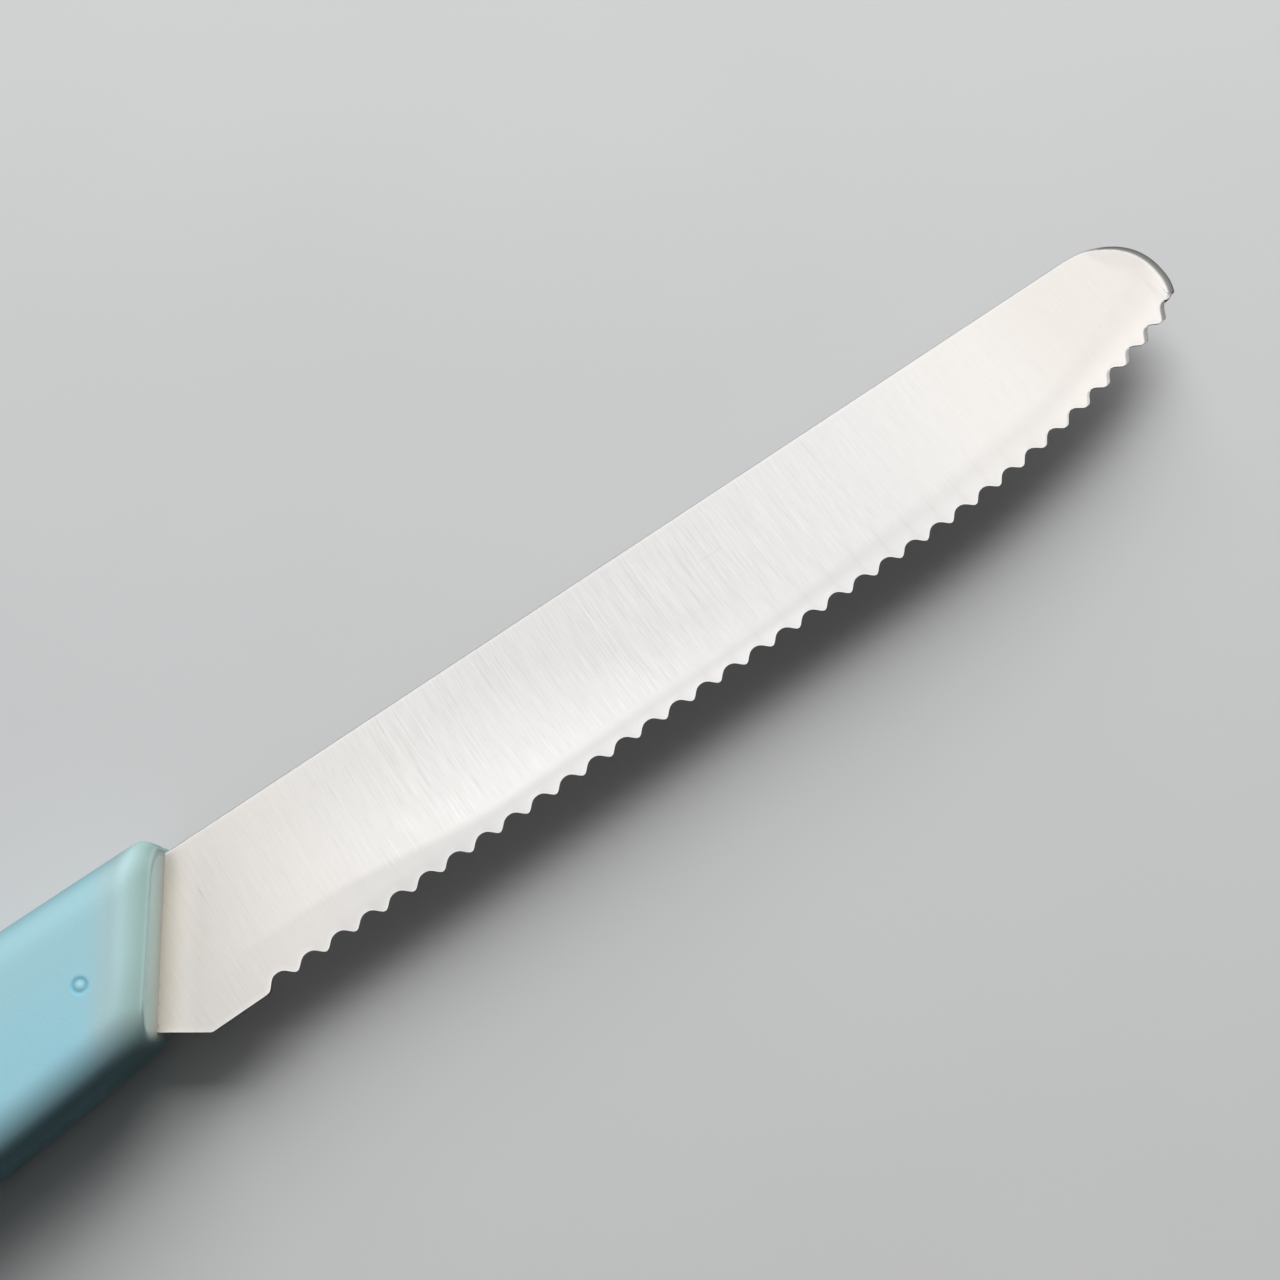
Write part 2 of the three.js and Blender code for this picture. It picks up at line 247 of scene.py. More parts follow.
# Sections of the blade, ring by ring: a rounded spine, the flat upper face, the edge bevel, a thin edge, the
# scooped hollow of each valley on the lower face, whose depth falls with a power, and the flat lower face.
# Where the outline faces the tip its rim is rolled over, a quarter ellipse from the face out to the outline.
def bladeRings(s, row):
    x, spine, edgeX, edge = row["x"], row["spine"], row["edgeX"], row["edge"]
    loopX = np.concatenate([x[:-1], edgeX[::-1]])
    loopBelow = np.concatenate([spine[:-1], edge[::-1]])
    normalX, normalBelow = outlineNormals(loopX, loopBelow)
    total = len(x)
    topX, topBelow = normalX[:total], normalBelow[:total]
    lowX, lowBelow = normalX[total - 1:][::-1], normalBelow[total - 1:][::-1]

    tipwardTop, tipwardLow = smoothStep(topX / s["rollLean"]), smoothStep(lowX / s["rollLean"])
    noseward = np.clip((x - s["noseCorner"]) / (s["toothEnd"] - s["noseCorner"]), 0, 1)
    flank = riseOver(x, *s["flankSpan"]) * tipwardLow * (1 - noseward)
    topDepth = blendTo(s["spineRound"], s["noseDepth"], tipwardTop)
    lowDepth = blendTo(s["edgeRound"], s["noseDepth"], noseward)
    lowRound = blendTo(s["edgeRound"], s["spineRound"], noseward)
    underDepth = lowDepth * (1 - row["ground"])
    half = s["half"]
    upper = half - s["bevelDrop"] * row["sharp"]
    lower = blendTo(-half, upper - s["edgeLand"], row["ground"])

    topBack = topX * s["spineRound"] + s["noseRoll"] * tipwardTop
    lowBack = lowX * lowRound + s["noseRoll"] * noseward
    spineOut = (column(x), column(spine))
    spineIn = (column(x - topBack), column(spine - topBelow * s["spineRound"]))
    edgeOut = (column(edgeX + s["flankRoll"] * flank), column(edge))
    edgeIn = (column(edgeX - lowBack), column(edge - lowBelow * lowRound))
    baseIn = (column(x - lowBack), column(row["base"] - lowBelow * lowRound))
    underIn = [blendTo(edgeIn[i], edgeOut[i], column(row["ground"])) for i in (0, 1)]
    span = np.maximum(row["base"] - spine, tiny)
    bevelShare = column(1 - np.minimum(s["bevelWidth"] / span, s["bevelShare"]))
    hollowLength = blendTo(s["hollowAtTip"], s["hollowAtValley"], row["valley"])
    hollowShare = column(1 - np.minimum(hollowLength / span, s["hollowShare"]))
    bevel = [blendTo(spineIn[i], baseIn[i], bevelShare) for i in (0, 1)]
    hollow = [blendTo(spineIn[i], baseIn[i], hollowShare) for i in (0, 1)]

    arc = np.linspace(0, np.pi / 2, s["roundColumns"])[None, :]  # from the outline in to the face
    back = arc[:, ::-1]
    shares = ("faceShares", "slopeShares", "scoopShares", "underShares")
    face, slope, scoop, under = (np.array([s[name]]) for name in shares)

    def rolled(inner, outer, turn):
        return [inner[i] + (outer[i] - inner[i]) * np.cos(turn) for i in (0, 1)]

    def between(first, last, share):
        return [blendTo(first[i], last[i], share) for i in (0, 1)]

    scooped = column(lower) - (column(lower) + half) * scoop ** s["hollowPower"]
    flatZ = np.full((total, 1), half)
    parts = [
        (*rolled(spineIn, spineOut, arc), half - column(topDepth) * (1 - np.sin(arc))),
        (*between(spineIn, bevel, face), flatZ + 0 * face),
        (*between(bevel, edgeIn, slope), blendTo(half, column(upper), slope)),
        (*rolled(edgeIn, edgeOut, back), column(upper) - column(lowDepth) * (1 - np.sin(back))),
        (*rolled(underIn, edgeOut, arc), column(lower) + column(underDepth) * (1 - np.sin(arc))),
        (*between(underIn, hollow, scoop), scooped),
        (*between(hollow, spineIn, under), -flatZ + 0 * under),
        (*rolled(spineIn, spineOut, back), column(topDepth) * (1 - np.sin(back)) - half),
    ]
    along, below, height = (np.concatenate([part[i] for part in parts], axis=1) for i in (0, 1, 2))

    # marks for painted highlights on the rims, and for painted shade on the wall of a rolled rim, with a
    # painted bright line where it meets the face
    plainRim, rolledRim, wallShade = (np.array([s[name]]) for name in ("plainRim", "rolledRim", "wallShade"))
    rollTop, rollLow = column(tipwardTop), column(np.maximum(noseward, flank))
    topRim, lowRim = blendTo(plainRim, rolledRim, rollTop), blendTo(plainRim, rolledRim, rollLow)
    blank = [np.zeros((total, part[2].shape[1])) for part in parts]
    rims = [topRim, *blank[1:3], lowRim[:, ::-1], lowRim, *blank[5:7], topRim[:, ::-1]]
    topWall, lowWall = wallShade * rollTop, wallShade * rollLow
    walls = [topWall, *blank[1:3], lowWall[:, ::-1], lowWall, *blank[5:7], topWall[:, ::-1]]

    # distance in from the toothed edge, and the smaller of that and the distance in from the nose
    most = s["insetMost"]
    edgeAway = np.clip(column(row["level"]) - below, 0, most)
    noseHeight = np.where(below < s["noseBelow"], s["noseRise"], s["noseFall"])
    ahead = np.maximum(0, along - s["noseX"]) / (s["noseLength"] - s["noseRoll"])
    reach = np.hypot(ahead, (below - s["noseBelow"]) / noseHeight)
    beforeTurn = 1 - riseOver(along, *s["bandTurn"])
    fromNose = s["bandReach"] * (1 - reach) + most * beforeTurn
    started = riseOver(along, *s["bandStart"])
    inset = blendTo(most, np.clip(np.minimum(edgeAway, fromNose), 0, most), started)

    pole = np.ones((1, along.shape[1]))
    marks = {
        "rim": np.concatenate([pole, np.concatenate(rims, axis=1)]),
        "wall": np.concatenate([0 * pole, np.concatenate(walls, axis=1)]),
        "inset": np.concatenate([most * pole, inset]),
        "edgeAway": np.concatenate([most * pole, edgeAway]),
    }
    along = np.concatenate([pole * along[0].mean(), along])
    below = np.concatenate([pole * below[0].mean(), below])
    height = np.concatenate([pole * 0, height])
    return along, below, height, marks


along, below, height, marks = bladeRings(bladeSteel, bladeStations(bladeSteel))
bladePiece = addSkin("bladeSteel", along, below, height, marks)
print("blade skin:", len(bladePiece.data.polygons), "faces")


handlePlastic = {
    "half": 6.5,
    "top": -1.5,
    "end": -105.0,
    "slant": 0.648,
    "frontX": -3.7,
    "frontBelow": 5.7,
    "slantRunOut": 30.0,
    "frontHalfTop": 4.3,
    "frontHalfLow": 4.9,
    "topFillet": 1.15,
    "shoulder": 3.3,
    "chinRound": 0.6,
    "chinBelow": 13.72,
    "chinX": -8.4,
    "bellySwell": 2.4,
    "swellAt": 36.0,
    "bellyWaist": 0.8,
    "waistAt": 62.0,
    "buttDrop": 2.63,
    "dropAt": 94.0,
    "roofFallStart": -45.0,
    "roofFall": 2.4,
    "topEdge": 3.65,
    "frontTopEdge": 2.2,
    "bellyEdge": (3.6, 3.1),  # up the side, then in across the belly
    "frontBellyEdge": (2.4, 2.6),
    "buttLength": 9.0,
    "buttTopRound": 7.0,
    "buttBellyRound": 5.5,
    "buttSideRound": 3.0,
    "buttTopShrink": 0.35,
    "buttBellyShrink": 0.65,
    "filletRows": 26,
    "lipRows": (0.0, 0.01, 0.03, 0.06, 0.09, 0.13, 0.18),
    "shoulderRows": 14,
    "markRows": 46,
    "bodyRows": 84,
    "buttRows": 34,
    "cornerColumns": 15,
    "ridgeHeight": 0.06,
    "ridgeWidth": 0.1,
    "ridgeRunIn": 0.4,
    "lipHeight": 0.04,
    "lipWidth": 0.12,
    "markX": -10.36,
    "markBelow": 7.0,
    "markBehind": 6.0,
    "markRadius": 0.53,
    "markWidth": 0.2,
    "markDepth": 0.05,
    "markNub": 0.025,
    "nubRadius": 0.22,
    "markReach": 1.0,
    "markSkin": 0.3,
    "rimReach": 0.5,
    # gaps between the sets of rings, and columns and fills as counts and shares
    "filletGap": 0.04,
    "shoulderGap": 0.1,
    "markGaps": (0.1, 0.3),
    "markColumns": 48,
    "markShare": 0.14,
    "besideColumns": (6, 7),
    "plainColumns": 16,
    "acrossShares": (0.85, 0.6, 0.35, 0.18, 0.1, 0.06, 0.035, 0.015),
    "fillShares": (0.0, 0.25, 0.5, 0.75, 0.9, 0.97, 0.99),
    "fillRim": (0.0, 0.0, 0.0, 0.0, 0.0, 0.0, 0.5),
}


# Belly line: a quarter sine swell behind the chin, less a smooth waist, plus a smooth drop towards the butt.
def bellyLine(s, x):
    behind = s["chinX"] - x
    swell = s["bellySwell"] * np.sin(np.pi / 2 * np.minimum(1, behind / s["swellAt"]))
    waist = s["bellyWaist"] * riseOver(behind, s["swellAt"], s["waistAt"])
    drop = s["buttDrop"] * riseOver(behind, s["waistAt"], s["dropAt"])
    return s["chinBelow"] + swell - waist + drop


# Top line: straight, then falling with the square of the distance towards the butt.
def topLine(s, x):
    behind = np.maximum(0, s["roofFallStart"] - x) / (s["roofFallStart"] - s["end"])
    return s["top"] + s["roofFall"] * behind ** 2


# Rings of the handle behind its front face: rectangles with rounded corners, which stand parallel to the
# slanted front and turn upright further back. The belly's corners are quarter ellipses. A fillet joins the
# front to the top line, the sides swell out as one minus a square over the shoulder, and the butt closes as
# a quarter ellipse. Both ends are filled towards their middle.
def handleRings(s):
    lean = np.hypot(1, s["slant"])
    run = s["topFillet"] * lean
    turnEnd = np.pi / 2 + np.arctan(s["slant"])
    body = s["frontX"] - s["end"] - s["buttLength"]
    fillet = run * (1 - np.cos(np.linspace(0, turnEnd, s["filletRows"])))
    lipRows, markBehind = np.array(s["lipRows"]), s["markBehind"]
    markFrom, markTo = markBehind - s["markReach"], markBehind + s["markReach"]
    gapBefore, gapAfter = s["markGaps"]
    behind = np.concatenate([
        lipRows,
        fillet[fillet > lipRows[-1] + s["filletGap"]],
        np.linspace(fillet[-1] + s["shoulderGap"], markFrom - gapBefore, s["shoulderRows"]),
        np.linspace(markFrom, markTo, s["markRows"]),
        np.linspace(markTo + gapAfter, body, s["bodyRows"]),
        body + s["buttLength"] * np.sin(np.linspace(0, np.pi / 2, s["buttRows"]))[1:],
    ])
    slant = s["slant"] * (1 - smoothStep(behind / s["slantRunOut"]))

    def place(low, rowSlant, rowBehind):
        return s["frontX"] - rowBehind - rowSlant * (low - s["frontBelow"])

    turned = np.maximum(np.cos(turnEnd), 1 - behind / run)
    filletDrop = s["topFillet"] + s["topFillet"] * (s["slant"] * turned - np.sqrt(1 - turned ** 2)) / lean
    butt = quarterFall((behind - body) / s["buttLength"])
    roof = topLine(s, place(s["top"], slant, behind)) + filletDrop + s["buttTopRound"] * butt
    belly = bellyLine(s, place(s["chinBelow"], slant, behind)) - s["buttBellyRound"] * butt
    belly = belly - s["chinRound"] * quarterFall(1 - behind / s["chinRound"])
    swell = 1 - np.maximum(0, 1 - behind / s["shoulder"]) ** 2
    side = s["half"] - s["buttSideRound"] * butt
    halfTop = blendTo(s["frontHalfTop"], side, swell)
    halfLow = blendTo(s["frontHalfLow"], side, swell)
    topEdge = blendTo(s["frontTopEdge"], s["topEdge"], swell) * (1 - s["buttTopShrink"] * butt)
    lowReach, lowDepth = (
        blendTo(s["frontBellyEdge"][i], s["bellyEdge"][i], swell) * (1 - s["buttBellyShrink"] * butt)
        for i in (0, 1)
    )

    def corner(zMiddle, lowMiddle, reach, depth, quarter):
        turn = (quarter + np.linspace(0, 1, s["cornerColumns"])[None, :]) * np.pi / 2
        out, up = column(depth) * np.cos(turn), column(reach) * np.sin(turn)
        return column(zMiddle) + out, column(lowMiddle) - up

    fineHalf = np.array(s["acrossShares"])  # closer together towards the parting line
    across = np.concatenate([fineHalf, [0], -fineHalf[::-1]])[None, :]
    sideTop, sideLow = roof + topEdge, belly - lowReach
    markRow = np.argmin(np.abs(behind - markBehind))
    markShare = (s["markBelow"] - sideTop[markRow]) / (sideLow[markRow] - sideTop[markRow])
    dense = markShare + np.linspace(s["markShare"], -s["markShare"], s["markColumns"])
    columnsLow, columnsHigh = s["besideColumns"]
    besideLow = np.linspace(1, dense[0], columnsLow)[1:-1]
    besideHigh = np.linspace(dense[-1], 0, columnsHigh)[1:-1]
    sideShare = np.concatenate([besideLow, dense, besideHigh])[None, :]
    plainShare = np.linspace(0, 1, s["plainColumns"])[None, 1:-1]

    def flank(sign, share):
        half = blendTo(column(halfTop), column(halfLow), share)
        return sign * half, blendTo(column(sideTop), column(sideLow), share)

    parts = [
        corner(halfTop - topEdge, sideTop, topEdge, topEdge, 0),
        (column(halfTop - topEdge) * across, column(roof) + 0 * across),
        corner(topEdge - halfTop, sideTop, topEdge, topEdge, 1),
        flank(-1, plainShare),
        corner(lowDepth - halfLow, sideLow, lowReach, lowDepth, 2),
        (-column(halfLow - lowDepth) * across, column(belly) + 0 * across),
        corner(halfLow - lowDepth, sideLow, lowReach, lowDepth, 3),
        flank(1, sideShare),
    ]
    height = np.concatenate([part[0] for part in parts], axis=1)
    below = np.concatenate([part[1] for part in parts], axis=1)
    along = place(below, column(slant), column(behind))

    # outward normals from the steps round the rings and along the handle
    points = np.stack([along, -below, height], axis=-1)
    normal = np.cross(np.roll(points, -1, axis=1) - np.roll(points, 1, axis=1), np.gradient(points, axis=0))
    normal = normal / np.maximum(np.linalg.norm(normal, axis=-1, keepdims=True), tiny)
    seam = np.exp(-(height / s["ridgeWidth"]) ** 2) * smoothStep(column(behind) / s["ridgeRunIn"])
    lip = s["lipHeight"] * np.exp(-((column(behind) - s["lipWidth"]) / s["lipWidth"]) ** 2)
    points = points + normal * (s["ridgeHeight"] * seam + lip)[..., None]

    # moulding mark on the upper side: a round groove with a low nub in its middle
    fromMark = np.hypot(points[..., 0] - s["markX"], points[..., 1] + s["markBelow"])
    onSide = points[..., 2] > s["half"] - s["markSkin"]
    groove = np.exp(-((fromMark - s["markRadius"]) / s["markWidth"]) ** 2) * onSide
    nub = np.exp(-(fromMark / s["nubRadius"]) ** 2) * onSide
    points[..., 2] += s["markNub"] * nub - s["markDepth"] * groove

    fill = np.array(s["fillShares"])
    frontFill = blendTo(points[0].mean(axis=0), points[0], fill[:, None, None])
    buttFill = blendTo(points[-1].mean(axis=0), points[-1], fill[:, None, None])[::-1]
    points = np.concatenate([frontFill, points, buttFill])
    ends = np.zeros((len(fill), height.shape[1]))
    whole = np.ones((1, height.shape[1]))
    nearLip = column(1 - smoothStep(behind / s["rimReach"])) * whole
    roofTurn = np.clip((column(sideTop) - below) / column(topEdge), 0, 1)
    roofEnd = roofTurn[-1:] * column(fill[::-1])
    seamEnd = np.exp(-(buttFill[..., 2] / s["ridgeWidth"]) ** 2)
    marks = {
        "front": np.concatenate([ends, column(behind) * whole, ends + behind[-1]]),
        "rim": np.concatenate([ends + column(np.array(s["fillRim"])), nearLip, ends]),
        "roof": np.concatenate([ends, roofTurn, roofEnd]),
        "mark": np.concatenate([ends, groove, ends]),
        "nub": np.concatenate([ends, nub, ends]),
        "seam": np.concatenate([ends, seam, seamEnd]),
    }
    return points[..., 0], -points[..., 1], points[..., 2], marks


along, below, height, marks = handleRings(handlePlastic)
handlePiece = addSkin("handlePlastic", along, below, height, marks)
print("handle skin:", len(handlePiece.data.polygons), "faces")


# One node with its settings, its values and its links, given as sockets.
def addNode(tree, kind, values=None, **settings):
    made = tree.nodes.new(kind)
    for name, value in settings.items():
        setattr(made, name, value)
    for socket, value in (values or {}).items():
        if isinstance(value, bpy.types.NodeSocket):
            tree.links.new(value, made.inputs[socket])
        else:
            made.inputs[socket].default_value = value
    return made


# Arithmetic on one, two or three values or sockets.
def addMath(tree, operation, *values):
    return addNode(tree, "ShaderNodeMath", dict(enumerate(values)), operation=operation).outputs[0]


# The product of several values or sockets.
def addProduct(tree, first, *others):
    for other in others:
        first = addMath(tree, "MULTIPLY", first, other)
    return first


# The sum of several values or sockets.
def addSum(tree, first, *others):
    for other in others:
        first = addMath(tree, "ADD", first, other)
    return first


# A colour between two colours, by a share.
def addMix(tree, share, first, second, how="MIX"):
    made = addNode(tree, "ShaderNodeMix", {0: share, 6: first, 7: second}, data_type="RGBA", blend_type=how)
    return made.outputs[2]


# A colour times a value.
def addShade(tree, colour, value):
    grey = addNode(tree, "ShaderNodeCombineColor", {0: value, 1: value, 2: value}).outputs[0]
    return addMix(tree, 1.0, colour, grey, "MULTIPLY")


# A colour tinted by another one, by a share.
def addTint(tree, share, colour, tint):
    return addMix(tree, share, colour, addMix(tree, 1.0, colour, tint, "MULTIPLY"))


# A value carried from one span to another, smoothly or straight.
def addRange(tree, value, fromLow, fromHigh, toLow=0.0, toHigh=1.0, how="SMOOTHSTEP"):
    spans = {"Value": value, "From Min": fromLow, "From Max": fromHigh, "To Min": toLow, "To Max": toHigh}
    return addNode(tree, "ShaderNodeMapRange", spans, interpolation_type=how).outputs[0]


# A pattern from 0 to 1 carried straight to two other values.
def addSpread(tree, pattern, low, high):
    return addRange(tree, pattern, 0.0, 1.0, low, high, "LINEAR")


# One plus an amount times a share, to strengthen or weaken something by it.
def addGain(tree, share, amount):
    return addMath(tree, "MULTIPLY_ADD", share, amount, 1.0)


# A bump of a strength and of a height in millimetres, as the shader's normal.
def addBump(tree, shader, height, strength, distance):
    values = {"Strength": strength, "Distance": distance * mm, "Height": height}
    tree.links.new(addNode(tree, "ShaderNodeBump", values).outputs[0], shader.inputs["Normal"])


# An empty node group with its sockets, given as names and kinds.
def newGroup(name, inputs, outputs):
    group = bpy.data.node_groups.new(name, "ShaderNodeTree")
    for sockets, side in ((inputs, "INPUT"), (outputs, "OUTPUT")):
        for socket, kind in sockets.items():
            group.interface.new_socket(name=socket, in_out=side, socket_type="NodeSocket" + kind)
    return group, group.nodes.new("NodeGroupInput").outputs, group.nodes.new("NodeGroupOutput").inputs


patterns = {
    "cloudDetail": 2.0,
    "grainDetail": 3.0,
    "grainRoughness": 0.55,
    "grainSpan": (0.25, 0.75),
    "highlightScale": 1.4,
    "highlightDetail": 3.0,
    "highlightBroken": (0.3, 0.62, 0.45, 1.0),
}


# Clouds and grain of a surface, both from 0 to 1: two noises whose sizes are given in millimetres.
def makeSurfaceGrain(p):
    inputs = {"Position": "Vector", "Cloud Size": "Float", "Grain Size": "Float"}
    group, enter, leave = newGroup("surfaceGrain", inputs, {"Cloud": "Float", "Grain": "Float"})
    for output, detail in (("Cloud", p["cloudDetail"]), ("Grain", p["grainDetail"])):
        scale = addMath(group, "DIVIDE", 1.0, enter[output + " Size"])
        values = {"Vector": enter["Position"], "Scale": scale, "Detail": detail}
        values["Roughness"] = p["grainRoughness"]
        noise = addNode(group, "ShaderNodeTexNoise", values).outputs[0]
        group.links.new(addRange(group, noise, *p["grainSpan"], how="LINEAR"), leave[output])
    return group


# Painted highlights on edges: the rim mark broken up by a fine noise, and a colour that is painted there as
# a highlight.
def makeEdgeHighlight(p):
    inputs = {"Position": "Vector", "Rim": "Float", "Amount": "Float", "Color": "Color", "Highlight": "Color"}
    group, enter, leave = newGroup("edgeHighlight", inputs, {"Color": "Color", "Mask": "Float"})
    values = {"Vector": enter["Position"], "Scale": p["highlightScale"], "Detail": p["highlightDetail"]}
    noise = addNode(group, "ShaderNodeTexNoise", values).outputs[0]
    mask = addProduct(group, enter["Rim"], addRange(group, noise, *p["highlightBroken"]), enter["Amount"])
    group.links.new(addMix(group, mask, enter["Color"], enter["Highlight"]), leave["Color"])
    group.links.new(mask, leave["Mask"])
    return group


# Sparse specks: cells of a Voronoi pattern, where only a few cells carry a spot.
def makeSpecks():
    inputs = {"Position": "Vector", "Spacing": "Float", "Spot": "Float", "Share": "Float"}
    group, enter, leave = newGroup("specks", inputs, {"Mask": "Float"})
    scale = addMath(group, "DIVIDE", 1.0, enter["Spacing"])
    cells = addNode(group, "ShaderNodeTexVoronoi", {"Vector": enter["Position"], "Scale": scale}).outputs
    near = addRange(group, cells["Distance"], enter["Spot"], 0.0)
    pick = addNode(group, "ShaderNodeSeparateColor", {"Color": cells["Color"]}).outputs[0]
    chosen = addMath(group, "LESS_THAN", pick, enter["Share"])
    group.links.new(addMath(group, "MULTIPLY", near, chosen), leave["Mask"])
    return group


surfaceGrain, edgeHighlight, specks = makeSurfaceGrain(patterns), makeEdgeHighlight(patterns), makeSpecks()


# A material with its shader and its position in knife millimetres, also as x, below the spine line and z.
def newMaterial(name):
    material = bpy.data.materials.new(name)
    material.use_nodes = True
    tree = material.node_tree
    place = addNode(tree, "ShaderNodeTexCoord").outputs["Object"]
    inMillimetres = {"Vector": place, "Location": tuple(-knifeStart / mm), "Scale": (1 / mm,) * 3}
    position = addNode(tree, "ShaderNodeMapping", inMillimetres).outputs[0]
    split = addNode(tree, "ShaderNodeSeparateXYZ", {0: position}).outputs
    axes = {"x": split[0], "low": addMath(tree, "MULTIPLY", split[1], -1.0), "z": split[2]}
    return material, tree, tree.nodes["Principled BSDF"], position, axes


def useGroup(tree, group, values):
    return addNode(tree, "ShaderNodeGroup", values, node_tree=group).outputs


# The clouds and the grain of a finish.
def useGrain(tree, position, f):
    sizes = {"Cloud Size": f["cloudSize"], "Grain Size": f["grainSize"]}
    made = useGroup(tree, surfaceGrain, {"Position": position, **sizes})
    return made["Cloud"], made["Grain"]


# A mark kept at the points of a skin.
def readMark(tree, name):
    return addNode(tree, "ShaderNodeAttribute", attribute_name=name).outputs["Fac"]


# A colour with the painted edge highlights of a finish over it.
def useEdgeHighlight(tree, position, colour, f):
    values = {"Position": position, "Rim": readMark(tree, "rim"), "Amount": f["highlightShare"]}
    return useGroup(tree, edgeHighlight, {**values, "Color": colour, "Highlight": f["highlighted"]})


# Spans are given as from and to, mostly along x, and where they end in other values than 0 and 1, these too.
steelFinish = {
    "steel": (0.77, 0.767, 0.76, 1),
    "roughness": (0.48, 0.36),
    "roughLines": (-0.1, 0.1),
    "cloudSize": 16.0,
    "grainSize": 0.7,
    "grainLevel": (0.992, 1.008),
    "bump": (0.4, 0.05),
    # grind lines: how many to a millimetre, how short, which layer of the noise, how strong
    "grindFan": (-0.00071, 0.057),
    "grindBend": -0.0026,
    "lines": ((6.0, 0.10, 0.0, 0.085), (5.0, 0.35, 5.0, 0.07), (1.6, 0.06, 9.0, 0.02)),
    "fewLines": ((5.0, 0.17, 11.0, -0.085), (5.0, 0.12, 17.0, 0.055)),
    "fewSpan": (0.64, 0.74),
    "linePatches": (0.7, 1.2),
    "lineInset": (1.9, 2.7),
    "lineStart": (8.0, 24.0, 0.45, 1.0),
    "lineEnd": (50.0, 95.0, 1.0, 0.25),
    # hairlines along the grind: where they cross, from and to below the spine line, how dark
    "hairlines": (
        (1.0, 4.3, 5.3, 0.2), (28.75, 1.7, 4.7, 0.08), (34.1, 1.5, 4.2, 0.08), (42.25, 0.8, 2.5, 0.08),
        (53.8, 2.1, 3.8, 0.08), (54.1, 5.6, 8.8, 0.08), (59.6, 2.2, 5.2, 0.08), (38.7, 6.3, 8.9, 0.07),
        (44.9, 7.4, 11.0, 0.07), (39.6, 1.0, 2.6, 0.07),
    ),
    "hairHalf": 0.07,
    "hairEnds": 0.3,
    "scratch": {"below": 4.95, "from": 54.8, "to": 57.4, "ends": 0.2, "dark": 0.10},
    # painted reflection: lighter and darker stretches along x, and by how much
    "levels": ((34.0, 84.0, 0.085), (70.0, 88.0, 0.055), (90.0, 100.0, -0.03)),
    # painted sheen above the teeth: along x, then its near and far limits from the edge
    "paintedSheen": 0.185,
    "paintedSheenSpans": ((-8.0, 28.0), (66.0, 28.0)),
    "paintedSheenNear": ((8.0, 28.0, 3.1, 1.0), (8.0, 28.0, 4.0, 2.1)),
    "paintedSheenFar": ((24.0, 54.0, 13.6, 6.0), (8.0, 30.0, 6.5, 2.8)),
    # painted shade on the bevel near the heel, painted light and shade on the edge itself, and painted shade
    # on the strip beside the teeth
    "bevelDim": -0.055,
    "bevelInset": (1.7, 0.4),
    "bevelSpans": ((4.0, 16.0), (27.0, 17.0)),
    "edgeLight": ((22.0, 36.0, 0.0, 0.09), (50.0, 76.0, 0.0, -0.12), (88.0, 99.0, 0.0, 0.12)),
    "edgeWidth": (80.0, 98.0, 1.6, 2.7),
    "edgeFull": 0.2,
    "strip": -0.062,
    "stripAway": ((42.0, 86.0, 1.0, 2.2), (92.0, 106.0, 0.0, 1.6)),
    "stripHalf": (56.0, 80.0, 0.8, 1.7),
    "stripSpans": ((40.0, 68.0), (102.0, 86.0, 0.35, 1.0)),
    # band along the nose
    "noseShade": -0.07,
    "noseInset": (2.6, 0.8),
    "noseAway": (2.5, 5.0),
    "noseSpan": (103.0, 107.0),
    # tints, by x plus a share of the way below the spine line
    "nearSlope": 0.15,
    "warm": (1.0, 0.977, 0.952, 1),
    "warmSpan": (28.0, 2.0),
    "warmClouds": (0.8, 1.0),
    "dull": (0.92, 0.91, 0.90, 1),
    "dullSpan": (10.0, -2.0),
    "tipTint": (1.0, 0.968, 0.935, 1),
    "tipSpan": (72.0, 100.0),
    # beside the handle, by the distance from its front; the lift is painted light where the handle shades
    # the steel
    "frontLift": 0.27,
    "frontSpan": (4.5, 0.6),
    "frontLower": (-0.5, 4.5, 0.2, 1.0),
    "stain": (1.0, 0.925, 0.865, 1),
    "stainSpan": (3.2, 0.4),
    "film": (0.74, 0.67, 0.60, 1),
    "filmSpan": (0.6, 0.0),
    "filmGrain": (0.75, 1.0),
    "filmMetal": -0.65,
    "gumLine": (0.22, 0.17, 0.12, 1),
    "gumHalf": 0.1,
    "gumGrain": (0.6, 0.95),
    "gumShare": 0.6,
    # pits, painted shade on the walls of rolled rims, and painted highlights on the edges
    "pit": (0.35, 0.34, 0.33, 1),
    "pits": {"Spacing": 2.6, "Spot": 0.05, "Share": 0.12},
    "pitShare": 0.3,
    "wall": (0.17, 0.175, 0.17, 1),
    "wallShare": 0.9,
    "wallRough": 0.12,
    "highlighted": (0.95, 0.95, 0.945, 1),
    "highlightShare": 0.9,
    "highlightRough": -0.1,
}
